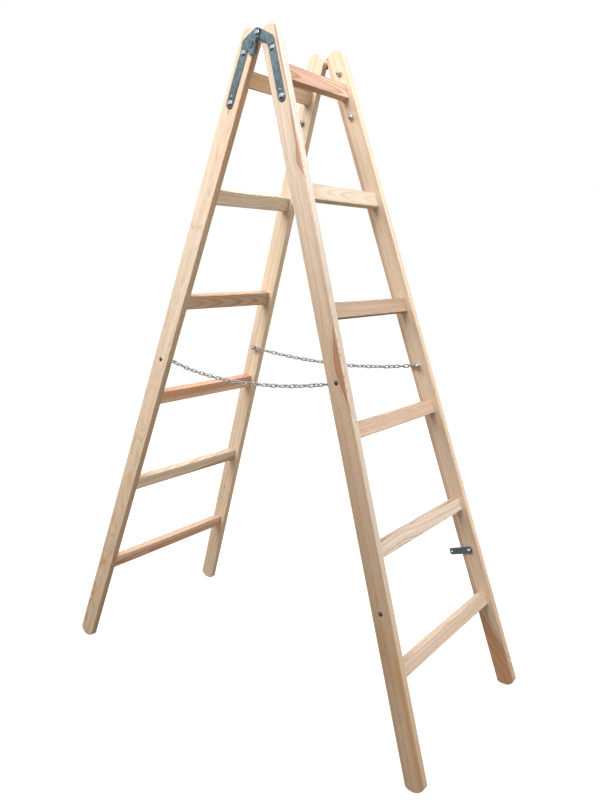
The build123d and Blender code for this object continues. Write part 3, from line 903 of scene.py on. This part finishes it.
RUNG_PINE: dict[tuple[Side, int], Pine] = {
    (Side.RIGHT, 1): Pine(
        # Painted light brightens the underside.
        11.0, tint=(0.69, 0.525, 0.51), foot=(1.22, 1.43, 1.46), fade=(-0.08, 0.11), edge=(1.3, 1.3, 1.25),
        ring=0.0040, pith=(0.008, 0.020), drift=(0.02, 0.03), contrast=1.1,
    ),
    (Side.RIGHT, 2): Pine(
        # Painted light brightens the underside.
        12.0, tint=(0.86, 0.91, 0.94), edge=(1.38, 1.32, 1.2),
        ring=0.0042, pith=(0.002, 0.020), drift=(0.01, -0.06), contrast=0.6,
    ),
    (Side.RIGHT, 3): Pine(
        13.0, tint=(0.65, 0.58, 0.54),
        ring=0.0036, pith=(0.03, 0.024), drift=(0.01, 0.05), contrast=0.7,
    ),
    (Side.RIGHT, 4): Pine(
        # Painted shade darkens the top face.
        14.0, tint=(0.89, 0.82, 0.82), painted_shade_rear=(0.75, 0.72, 0.70),
        ring=0.0028, pith=(0.05, 0.03), drift=(0.02, 0.01), contrast=0.9,
    ),
    (Side.RIGHT, 5): Pine(
        # Painted shade darkens the top face.
        15.0, tint=(1.06, 1.13, 1.27), painted_shade_rear=(0.62, 0.54, 0.48),
        ring=0.0050, pith=(0.045, 0.026), drift=(0.01, 0.02), contrast=1.4, swells=((-0.10, 0.06, 0.006),),
    ),
    (Side.RIGHT, 6): Pine(
        # Painted shade darkens the top face.
        16.0, tint=(1.0, 0.98, 1.03), painted_shade_rear=(0.82, 0.78, 0.76),
        ring=0.0042, pith=(0.045, 0.022), drift=(0.01, -0.03), contrast=0.85, swells=((0.18, 0.06, 0.014),),
    ),
    (Side.LEFT, 1): Pine(
        21.0, tint=(0.93, 0.81, 0.66), foot=(1.03, 1.13, 1.25), fade=(-0.11, 0.12),
        ring=0.0046, pith=(0.030, 0.012), drift=(0.02, 0.01), contrast=1.5,
    ),
    (Side.LEFT, 2): Pine(
        22.0, tint=(1.08, 1.16, 1.19),
        ring=0.0040, pith=(0.040, 0.010), drift=(0.01, 0.01), contrast=1.3, swells=((0.08, 0.05, 0.010),),
    ),
    (Side.LEFT, 3): Pine(
        23.0, tint=(0.82, 0.72, 0.66),
        ring=0.0034, pith=(0.004, 0.026), drift=(0.01, 0.04),
    ),
    (Side.LEFT, 4): Pine(
        # Painted shade darkens the top face.
        24.0, tint=(1.20, 1.05, 0.98), painted_shade_rear=(0.85, 0.85, 0.90),
        ring=0.0032, pith=(-0.040, -0.012), drift=(0.0, 0.0), heart_reach=0.040, heart=(0.86, 0.72, 0.66),
    ),
    (Side.LEFT, 5): Pine(
        # Painted shade darkens the top face.
        25.0, tint=(1.18, 1.24, 1.27), painted_shade_rear=(0.73, 0.71, 0.70),
        ring=0.0032, pith=(0.040, -0.012), drift=(-0.06, 0.0), heart_reach=0.026, heart=(0.74, 0.58, 0.52),
    ),
    (Side.LEFT, 6): Pine(
        # Painted shade darkens the top face.
        26.0, tint=(1.25, 1.20, 1.22), painted_shade_rear=(0.72, 0.64, 0.60),
        ring=0.0036, pith=(0.010, -0.030), drift=(0.02, 0.01), heart_reach=0.0215, heart=(0.84, 0.68, 0.60),
    ),
}


@dataclass
class CheckChain:
    """Half of a check chain, from its bolt to the middle.

    Attributes:
        row: the end of the rungs.
        side: the frame that it hangs from.
        links: how many links.
        wire: thickness of the wire.
        inner_width: room inside a link, across it.
        roll: degrees by which the links have rolled once they are away from the bolt.
        roll_links: how many links that roll takes.
        twist: most degrees by which single links turn further.
        twist_step: how fast that further turn comes and goes, in radians a link.
        play: room between one link and the next.
        sideways: how far each half passes beside the middle.
        pass_start: distance along X from the bolt where a half begins to move aside.
        pass_end: distance along X from the bolt where it has moved.
        steps: short stretches that stand for the hanging curve.
        waist: share of a link's half width that counts as its middle.
        weld: how many times as thick the wire is where the link is closed.
    """

    row: Row
    side: Side
    links: int = 20
    wire: float = 0.0032
    inner_width: float = 0.005
    roll: float = 45.0
    roll_links: int = 5
    twist: float = 12.0
    twist_step: float = 1.7
    play: float = 0.0003
    sideways: float = 0.0053
    pass_start: float = 0.036
    pass_end: float = 0.090
    steps: int = 400
    waist: float = 0.05
    weld: float = 1.22

    @property
    def node(self) -> str:
        """CAD node that it stands for, and its body."""
        return f"chain_{self.row.value}_{self.side.value}"

    @property
    def sag(self) -> float:
        """How far the middle hangs below the bolts."""
        return 0.035 if self.row is Row.NEAR else 0.022

    def point(self, share: float) -> Vector:
        """Work out a place on the hanging curve.

        Args:
            share: share of the way from the bolt to the middle.

        Returns:
            The place.
        """
        bolt = joint_place(f"{self.node}_swing")
        span = abs(bolt.x)
        ramp = min(1.0, max(0.0, (share * span - self.pass_start) / (self.pass_end - self.pass_start)))
        shift = self.side.sign * -self.row.sign * self.sideways * ramp * ramp * (3 - 2 * ramp)
        drop = self.sag * (1 - (1 - share) ** 2)
        return bolt + Vector((-self.side.sign * share * span, shift, -drop))

    def places(self) -> tuple[float, list[Matrix]]:
        """Work out where the links hang.

        Returns:
            The distance between links, and each link's place with X along the chain.
        """
        points = [self.point(i / self.steps) for i in range(self.steps + 1)]
        lengths = [0.0]
        for a, b in zip(points, points[1:]):
            lengths.append(lengths[-1] + (b - a).length)
        pitch = (lengths[-1] + (self.inner_width - self.play) / 2) / self.links
        first = (pitch + self.play - self.inner_width) / 2
        places = []
        for i in range(self.links):
            at = first + i * pitch
            n = min(range(self.steps), key=lambda k: abs(lengths[k] + (lengths[k + 1] - lengths[k]) / 2 - at))
            along = (points[n + 1] - points[n]).normalized()
            level = Vector((0.0, 1.0, 0.0))
            level = (level - along * along.y).normalized()
            open_turn = self.roll * min(1.0, i / self.roll_links) + self.twist * math.sin(self.twist_step * i)
            turn = math.radians(90.0 * (i % 2) + open_turn)
            normal = Matrix.Rotation(turn, 3, along) @ level
            places.append(axes_at(points[n] + along * (at - lengths[n]), along, normal.cross(along)))
        return pitch, places

    def link(self, pitch: float) -> bpy.types.Object:
        """Model one round-wire link about the origin.

        Args:
            pitch: distance between links.

        Returns:
            The link, X along it.
        """
        side = (self.inner_width + self.wire) / 2
        straight = (pitch + self.play + self.wire) / 2 - side
        middle = side * self.waist
        pick_none()
        bpy.ops.mesh.primitive_torus_add(
            major_radius=side, minor_radius=self.wire / 2, major_segments=20, minor_segments=10
        )
        link = bpy.context.object
        for sign in (-1.0, 1.0):
            pick_verts(link, lambda co, s=sign: co.x * s > middle)
            bpy.ops.transform.translate(value=(sign * straight, 0.0, 0.0))
            bpy.ops.object.mode_set(mode="OBJECT")
        pick_verts(link, lambda co: abs(co.x) < middle and co.y < 0)
        bpy.ops.transform.resize(value=(1.0, self.weld, self.weld), center_override=(0.0, -side, 0.0))
        bpy.ops.object.mode_set(mode="OBJECT")
        return link

    def build(self) -> bpy.types.Object:
        """Copy the link along the chain and join the copies.

        Returns:
            The half chain.
        """
        pitch, places = self.places()
        link = self.link(pitch)
        copies = []
        for place in places:
            copy = link.copy()
            copy.data = link.data.copy()
            copy.data.transform(place)
            bpy.context.collection.objects.link(copy)
            copies.append(copy)
        bpy.data.objects.remove(link)
        chain = join(copies, f"chain_links_{self.row.value}_{self.side.value}")
        bpy.ops.object.shade_smooth()
        stand_for(chain, self.node)
        return chain


@dataclass
class Fitting:
    """One steel fitting after its CAD node, with clean faces and softened edges.

    Attributes:
        node: CAD node that it stands for.
        slot: its material slot.
        soft: how far its edges are softened.
        sharp: angle past which an edge is softened.
        flat: angle up to which neighbouring faces become one.
        merge: distance up to which corners become one.
    """

    node: str
    slot: Slot
    soft: float
    sharp: float = math.radians(38.0)
    flat: float = math.radians(0.5)
    merge: float = 1e-6

    def shape(self, thing: bpy.types.Object) -> None:
        """Change the merged copy of the CAD mesh before its edges are softened."""

    def build(self, material: bpy.types.Material) -> bpy.types.Object:
        """Copy the CAD mesh, merge its triangles, soften its sharp edges and dress it.

        Args:
            material: its finish.

        Returns:
            The fitting.
        """
        thing = bpy.data.objects.new(f"steel_{self.node}", frame["nodes"][self.node].data.copy())
        bpy.context.collection.objects.link(thing)
        thing.data.materials.clear()
        thing.data.materials.append(material)
        pick_verts(thing, lambda co: True)
        bpy.ops.mesh.remove_doubles(threshold=self.merge)
        bpy.ops.mesh.select_all(action="SELECT")
        bpy.ops.mesh.dissolve_limited(angle_limit=self.flat)
        self.shape(thing)
        pick_edges(thing, lambda a, b: False)
        bpy.ops.mesh.edges_select_sharp(sharpness=self.sharp)
        bpy.ops.mesh.bevel(offset=self.soft, segments=2, affect="EDGES", clamp_overlap=True)
        bpy.ops.object.mode_set(mode="OBJECT")
        weigh_normals(thing)
        stand_for(thing, self.node)
        return thing


@dataclass
class StileFitting(Fitting):
    """Fitting whose shape is changed in the coordinates of the stile that carries it.

    Attributes:
        frames: what both frames share.
        side: the stile's frame.
        row: the stile's end of the rungs.
    """

    frames: Frames = field(kw_only=True)
    side: Side = field(kw_only=True)
    row: Row = field(kw_only=True)

    @property
    def place(self) -> Matrix:
        """Place of the stile."""
        return self.frames.stile_place(self.side, self.row)

    @property
    def outward(self) -> float:
        """Direction in which the stile's outer face looks along Z."""
        return self.frames.outward(self.side, self.row)

    def shape(self, thing: bpy.types.Object) -> None:
        """Bring the copy into the stile's coordinates, change it and put it back.

        Args:
            thing: the copy.
        """
        pick_none()
        thing.data.transform(self.place.inverted())
        self.reshape(thing)
        settle(thing, self.place)

    def reshape(self, thing: bpy.types.Object) -> None:
        """Change the copy, with X down the stile and Z square to its outer face."""

    def spread(
        self, thing: bpy.types.Object, test: Callable[[Vector], bool], times: float, seat: float
    ) -> None:
        """Make one round form wider about its own axis.

        Args:
            thing: the copy.
            test: takes a vertex's place, and says whether it is part of the form.
            times: how many times as wide.
            seat: where the form stands along Z.
        """
        places = [v.co for v in thing.data.vertices if test(v.co)]
        middle = [(min(p[i] for p in places) + max(p[i] for p in places)) / 2 for i in range(2)]
        pick_verts(thing, test)
        bpy.ops.transform.resize(value=(times, times, times), center_override=(*middle, seat))


@dataclass
class HeadedBolt(StileFitting):
    """Bolt through a stile, its low head spread a little wider.

    Attributes:
        wider: how many times as wide the head is as in the CAD.
    """

    wider: float = 1.28

    def reshape(self, thing: bpy.types.Object) -> None:
        """Spread the head."""
        outward = self.outward
        self.spread(thing, lambda co: co.z * outward > EPS, self.wider, 0.0)


@dataclass
class CapNuts(StileFitting):
    """The two cap nuts of a hinge leaf, spread a little wider.

    Attributes:
        wider: how many times as wide the nuts are as in the CAD.
        between: place along the stile that parts the two nuts.
    """

    wider: float = 1.22
    between: float = 0.104

    def reshape(self, thing: bpy.types.Object) -> None:
        """Spread both nuts.

        Args:
            thing: the copy, in the stile's coordinates.
        """
        seat = -self.outward * self.frames.stile_thick
        for sign in (-1.0, 1.0):
            self.spread(thing, lambda co, s=sign: (co.x - self.between) * s > 0.0, self.wider, seat)


@dataclass
class StrapLatch(StileFitting):
    """Strap latch whose pin hole is closer about the pin.

    Attributes:
        hole: radius of the pin hole in the CAD.
        closer: how many times as wide it becomes.
    """

    hole: float = 0.0034
    closer: float = 0.64

    def reshape(self, thing: bpy.types.Object) -> None:
        """Draw the hole's rim inward.

        Args:
            thing: the copy, in the stile's coordinates.
        """
        reach = 2 * self.frames.stile_middle
        bolt = self.place.inverted() @ joint_place(f"{self.node}_turn")
        far = max((v.co for v in thing.data.vertices), key=lambda co: (co - bolt).length)
        level = abs(far.y - bolt.y) > abs(far.x - bolt.x)
        middle = bolt + Vector((0.0, -reach, 0.0) if level else (reach, 0.0, 0.0))
        pick_verts(thing, lambda co: (co - middle).xy.length < self.hole + EPS)
        bpy.ops.transform.resize(value=(self.closer, self.closer, 1.0), center_override=middle)


@dataclass
class Fittings:
    """Hinge leaves, bolts, nuts, nails, rivets and latches.

    Attributes:
        frames: what both frames share.
        plate_soft: how far the edges of leaves and latches are softened.
        small_soft: how far the edges of bolts, nuts and rivets are softened.
        sheet: galvanised sheet of the leaves.
        bright: zinc of the leaf bolts, nuts, rivets, nails and pins.
        chain: zinc of the chains.
        dark: steel of the latches.
        black: steel of the chain and latch bolts.
    """

    frames: Frames
    plate_soft: float = 0.00035
    small_soft: float = 0.0002
    sheet: Steel = Steel(
        (0.29, 0.385, 0.425), (0.13, 0.19, 0.215), 1.0, (0.30, 0.46),
        # Painted shade darkens the leaves below their heads.
        painted_shade_low=(0.70, 0.67, 0.64), shade_heights=(1.50, 1.63),
    )
    bright: Steel = Steel((0.72, 0.73, 0.75), (0.52, 0.53, 0.55), 1.0, (0.10, 0.17), patch=600.0)
    chain: Steel = Steel((0.72, 0.69, 0.67), (0.50, 0.48, 0.465), 1.0, (0.26, 0.40), patch=400.0)
    dark: Steel = Steel((0.30, 0.34, 0.37), (0.18, 0.20, 0.22), 0.8, (0.38, 0.55), patch=300.0)
    black: Steel = Steel((0.13, 0.125, 0.12), (0.07, 0.068, 0.065), 0.8, (0.28, 0.42), patch=500.0)

    def finishes(self) -> dict[Slot, bpy.types.Material]:
        """Make the materials.

        Returns:
            The materials by the record's slots.
        """
        steels = {
            Slot.SHEET: self.sheet,
            Slot.BRIGHT: self.bright,
            Slot.CHAIN: self.chain,
            Slot.BOLT: self.black,
            Slot.STRAP: self.dark,
        }
        return {slot: steel.material(slot.value) for slot, steel in steels.items()}

    def stile_pieces(self, side: Side, row: Row) -> list[Fitting]:
        """List the fittings that every stile carries.

        Args:
            side: the frame.
            row: the end of the rungs.

        Returns:
            The fittings.
        """
        tag = f"{row.value}_{side.value}"
        small = self.small_soft
        return [
            Fitting(f"leaf_{tag}", Slot.SHEET, self.plate_soft),
            Fitting(f"leaf_bolts_{tag}", Slot.BRIGHT, small),
            CapNuts(f"leaf_nuts_{tag}", Slot.BRIGHT, small, frames=self.frames, side=side, row=row),
            HeadedBolt(f"chain_bolt_{tag}", Slot.BOLT, small, frames=self.frames, side=side, row=row),
            Fitting(f"chain_nut_{tag}", Slot.BRIGHT, small),
        ]

    def row_pieces(self, row: Row) -> list[Fitting]:
        """List the rivet and the latch at one end of the rungs.

        Args:
            row: the end of the rungs.

        Returns:
            The fittings.
        """
        tag = row.value
        side = Side.RIGHT
        small = self.small_soft
        return [
            Fitting(f"pivot_rivet_{tag}", Slot.BRIGHT, small),
            StrapLatch(f"latch_{tag}", Slot.STRAP, self.plate_soft, frames=self.frames, side=side, row=row),
            HeadedBolt(f"latch_bolt_{tag}", Slot.BOLT, small, frames=self.frames, side=side, row=row),
            Fitting(f"latch_nut_{tag}", Slot.BRIGHT, small),
        ]

    def build(self, finishes: dict[Slot, bpy.types.Material]) -> None:
        """Build the softened copies, and dress what stays as CAD.

        Args:
            finishes: the materials by slot.
        """
        pieces = []
        for row in Row:
            for side in Side:
                pieces += self.stile_pieces(side, row)
            pieces += self.row_pieces(row)
        for piece in pieces:
            thing = piece.build(finishes[piece.slot])
            log.info("%s: %d faces", thing.name, len(thing.data.polygons))
        for name in frame["nodes"]:
            if name.startswith(("leaf_nail", "catch_pin")):
                wear(name, finishes[Slot.BRIGHT])
                log.info("%s: CAD piece in bright zinc", name)


@dataclass(frozen=True)
class Lamp:
    """Soft rectangular lamp: its name, place, width and height, power, and whether steel mirrors it."""

    name: str
    place: Triple
    size: Pair
    watts: float
    mirrored: bool = False
    color: Color = (0.92, 0.99, 1.0)

    def hang(self, aim: Vector) -> None:
        """Hang the lamp.

        Args:
            aim: where it points.
        """
        data = bpy.data.lights.new(self.name, "AREA")
        data.shape = "RECTANGLE"
        data.size, data.size_y = self.size
        data.energy = self.watts
        data.color = self.color
        lamp = bpy.data.objects.new(self.name, data)
        lamp.location = self.place
        lamp.rotation_euler = (aim - Vector(self.place)).to_track_quat("-Z", "Y").to_euler()
        lamp.visible_glossy = self.mirrored
        bpy.context.collection.objects.link(lamp)


@dataclass
class Studio:
    """Pale floor, soft light and the photograph's camera.

    Attributes:
        camera_place: where the camera stands.
        yaw: how far it is turned to the left of +Y.
        pitch: how far it looks up.
        roll: how far it leans.
        lens: focal length in millimetres.
        sensor: width of the picture in the camera, in millimetres.
        shift: shift of the lens, as shares of the picture's width.
        aim: where the lamps point.
        floor_size: width of the floor.
        floor_color: the floor's own colour.
        floor_light: strength of the floor's own light.
        glow: the sky's colours in diffuse light, from below to above.
        mirror: the sky's colours in reflections and behind the floor, from below to above.
        lamps: the lamps.
    """

    camera_place: Vector = field(default_factory=lambda: Vector((1.187061, -1.591697, 1.171436)))
    yaw: float = math.radians(36.704)
    pitch: float = math.radians(-14.889)
    roll: float = math.radians(0.937)
    lens: float = 43.895
    sensor: float = 36.0
    shift: Pair = (0.0168, 0.0857)
    aim: Vector = field(default_factory=lambda: Vector((0.0, 0.0, 0.9)))
    floor_size: float = 400.0
    floor_color: Color = (0.25, 0.25, 0.25)
    floor_light: float = 0.94
    glow: tuple[Stop, ...] = (
        (0.0, (0.25, 0.20, 0.15)),
        (0.48, (0.20, 0.16, 0.11)),
        (0.52, (0.38, 0.355, 0.31)),
        (1.0, (0.42, 0.40, 0.36)),
    )
    mirror: tuple[Stop, ...] = (
        (0.0, (0.05, 0.05, 0.05)),
        (0.32, (0.12, 0.12, 0.12)),
        (0.46, (1.0, 1.0, 1.0)),
        (1.0, (1.0, 1.0, 1.0)),
    )
    lamps: tuple[Lamp, ...] = (
        Lamp("key", (-0.5, -1.5, 2.9), (2.4, 0.7), 111.0),
        Lamp("overhead", (1.2, 0.3, 3.2), (1.2, 1.2), 68.0, mirrored=True),
        Lamp("fill", (2.8, -0.3, 0.9), (2.0, 1.6), 28.0),
        Lamp("back", (-0.4, 2.4, 2.4), (2.0, 0.8), 50.0),
    )

    def camera(self) -> None:
        """Set the camera where the photograph was taken."""
        ahead = Vector((
            -math.sin(self.yaw) * math.cos(self.pitch),
            math.cos(self.yaw) * math.cos(self.pitch),
            math.sin(self.pitch),
        ))
        right = Vector((math.cos(self.yaw), math.sin(self.yaw), 0.0))
        up = right.cross(ahead)
        leaning_right = right * math.cos(self.roll) + up * math.sin(self.roll)
        leaning_up = up * math.cos(self.roll) - right * math.sin(self.roll)
        data = bpy.data.cameras.new("camera")
        data.sensor_fit = "HORIZONTAL"
        data.sensor_width = self.sensor
        data.lens = self.lens
        data.shift_x, data.shift_y = self.shift
        camera = bpy.data.objects.new("camera", data)
        camera.matrix_world = axes_at(self.camera_place, leaning_right, leaning_up)
        bpy.context.collection.objects.link(camera)
        bpy.context.scene.camera = camera

    def floor(self) -> None:
        """Lay a pale floor that throws no light back, as in a cut-out picture."""
        pick_none()
        bpy.ops.mesh.primitive_plane_add(size=self.floor_size)
        floor = bpy.context.object
        floor.name = "floor"
        g = Graph("pale_floor")
        g.shade(Base_Color=self.floor_color, Roughness=0.9, Specular_IOR_Level=0.0)
        g.shade(Emission_Color=(1.0, 1.0, 1.0), Emission_Strength=self.floor_light)
        floor.data.materials.append(g.material)
        floor.visible_diffuse = False
        floor.visible_glossy = False

    def sky(self) -> None:
        """Light all round, warm on what it falls on, and white above and dark below in reflections."""
        world = bpy.data.worlds.new("studio")
        world.use_nodes = True
        bpy.context.scene.world = world
        nodes, links = world.node_tree.nodes, world.node_tree.links
        parts = nodes.new("ShaderNodeSeparateXYZ")
        links.new(nodes.new("ShaderNodeTexCoord").outputs["Generated"], parts.inputs[0])
        height = nodes.new("ShaderNodeMapRange")
        height.inputs["From Min"].default_value = -1.0
        links.new(parts.outputs["Z"], height.inputs["Value"])
        pick = nodes.new("ShaderNodeMix")
        pick.data_type = "RGBA"
        links.new(nodes.new("ShaderNodeLightPath").outputs["Is Diffuse Ray"], pick.inputs["Factor"])
        sockets = [s for s in pick.inputs if s.type == "RGBA"]
        for socket, stops in zip(sockets, (self.mirror, self.glow)):
            ramp = nodes.new("ShaderNodeValToRGB")
            set_stops(ramp, stops)
            links.new(height.outputs["Result"], ramp.inputs["Fac"])
            links.new(ramp.outputs["Color"], socket)
        shown = next(s for s in pick.outputs if s.type == "RGBA")
        links.new(shown, nodes["Background"].inputs["Color"])

    def build(self) -> None:
        """Set up the whole studio."""
        bpy.context.scene.view_settings.view_transform = "Standard"
        self.camera()
        self.floor()
        self.sky()
        for lamp in self.lamps:
            lamp.hang(self.aim)


def joint_place(name: str) -> Vector:
    """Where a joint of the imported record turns."""
    return Vector(next(j["pos_m"] for j in frame["joints"] if j["name"] == name))


def axes_at(origin: Vector, x: Vector, y: Vector) -> Matrix:
    """Build a place from two directions.

    Args:
        origin: the place.
        x: direction of X.
        y: direction of Y, square to X.

    Returns:
        The matrix.
    """
    place = Matrix((x, y, x.cross(y))).transposed().to_4x4()
    place.translation = origin
    return place


def set_stops(ramp: bpy.types.ShaderNodeValToRGB, stops: Sequence[Stop]) -> None:
    """Set the stops of a colour ramp.

    Args:
        ramp: the ramp, as it is made.
        stops: place and colour of each stop.
    """
    elements = ramp.color_ramp.elements
    while len(elements) < len(stops):
        elements.new(0.5)
    for element, (at, color) in zip(elements, stops):
        element.position = at
        element.color = (*color, 1.0)


def wear(node: str, material: bpy.types.Material) -> None:
    """Give a CAD node a finish through its material slots.

    Args:
        node: the CAD node.
        material: its finish.
    """
    thing = frame["nodes"][node]
    if not thing.material_slots:
        thing.data.materials.append(material)
    for slot in thing.material_slots:
        slot.material = material


def pick_none() -> None:
    """Leave nothing selected."""
    if bpy.context.mode != "OBJECT":
        bpy.ops.object.mode_set(mode="OBJECT")
    bpy.ops.object.select_all(action="DESELECT")


def pick_object(thing: bpy.types.Object) -> None:
    """Leave one object selected and active.

    Args:
        thing: the object.
    """
    pick_none()
    thing.select_set(True)
    bpy.context.view_layer.objects.active = thing


def pick_verts(thing: bpy.types.Object, test: Callable[[Vector], bool]) -> None:
    """Go into edit mode with the vertices that pass a test selected.

    Args:
        thing: the object.
        test: takes a vertex's place.
    """
    pick_object(thing)
    bpy.ops.object.mode_set(mode="EDIT")
    bpy.ops.mesh.select_mode(type="VERT")
    bpy.ops.mesh.select_all(action="DESELECT")
    bpy.ops.object.mode_set(mode="OBJECT")
    for vertex in thing.data.vertices:
        vertex.select = test(vertex.co)
    bpy.ops.object.mode_set(mode="EDIT")


def pick_edges(thing: bpy.types.Object, test: Callable[[Vector, Vector], bool]) -> None:
    """Go into edit mode with the edges that pass a test selected.

    Args:
        thing: the object.
        test: takes the places of an edge's two ends.
    """
    pick_verts(thing, lambda co: False)
    bpy.ops.mesh.select_mode(type="EDGE")
    bpy.ops.object.mode_set(mode="OBJECT")
    for edge in thing.data.edges:
        a, b = (thing.data.vertices[i].co for i in edge.vertices)
        edge.select = test(a, b)
    bpy.ops.object.mode_set(mode="EDIT")


def settle(thing: bpy.types.Object, place: Matrix) -> None:
    """Set a piece in place, and leave its object at the origin.

    Args:
        thing: the piece, modelled about the origin.
        place: where it goes.
    """
    pick_object(thing)
    thing.matrix_world = place
    bpy.ops.object.transform_apply(location=True, rotation=True, scale=True)


def finish_board(board: bpy.types.Object, node: str, material: bpy.types.Material) -> bpy.types.Object:
    """Shade a board, dress it and let it stand for its CAD node.

    Args:
        board: the board, in place.
        node: the CAD node.
        material: its pine.

    Returns:
        The board.
    """
    board.name = f"pine_{node}"
    weigh_normals(board)
    board.data.materials.append(material)
    stand_for(board, node)
    return board


def weigh_normals(thing: bpy.types.Object) -> None:
    """Shade a piece smooth, with its large faces kept flat.

    Args:
        thing: the piece.
    """
    pick_object(thing)
    bpy.ops.object.shade_smooth()
    bpy.ops.object.modifier_add(type="WEIGHTED_NORMAL")
    thing.modifiers[-1].weight = 100
    bpy.ops.object.modifier_apply(modifier=thing.modifiers[-1].name)


def stand_for(thing: bpy.types.Object, node: str) -> None:
    """Let a piece ride with a CAD node's body and stand for it.

    Args:
        thing: the piece.
        node: the CAD node.
    """
    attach(thing, frame["nodes"][node]["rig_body"])
    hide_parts(node)


def join(things: list[bpy.types.Object], name: str) -> bpy.types.Object:
    """Join objects into one.

    Args:
        things: the objects.
        name: the new name.

    Returns:
        The joined object, selected.
    """
    pick_none()
    for thing in things:
        thing.select_set(True)
    bpy.context.view_layer.objects.active = things[0]
    bpy.ops.object.join()
    whole = bpy.context.object
    whole.name = name
    return whole


def main() -> None:
    """Build and dress the ladder, then the studio."""
    logging.basicConfig(level=logging.INFO, format="%(message)s")
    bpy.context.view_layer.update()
    frames = Frames()
    for side in Side:
        for row in Row:
            board = Stile(side, row, STILE_PINE[side, row], frames).build()
            log.info("%s: %d faces", board.name, len(board.data.polygons))
        for number in range(1, frames.rungs + 1):
            board = Rung(side, number, RUNG_PINE[side, number], frames).build()
            log.info("%s: %d faces", board.name, len(board.data.polygons))
    fittings = Fittings(frames)
    finishes = fittings.finishes()
    fittings.build(finishes)
    for row in Row:
        for side in Side:
            chain = CheckChain(row, side).build()
            chain.data.materials.append(finishes[Slot.CHAIN])
            log.info("%s: %d faces", chain.name, len(chain.data.polygons))
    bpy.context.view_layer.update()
    Studio().build()


if __name__ == "__main__":
    main()
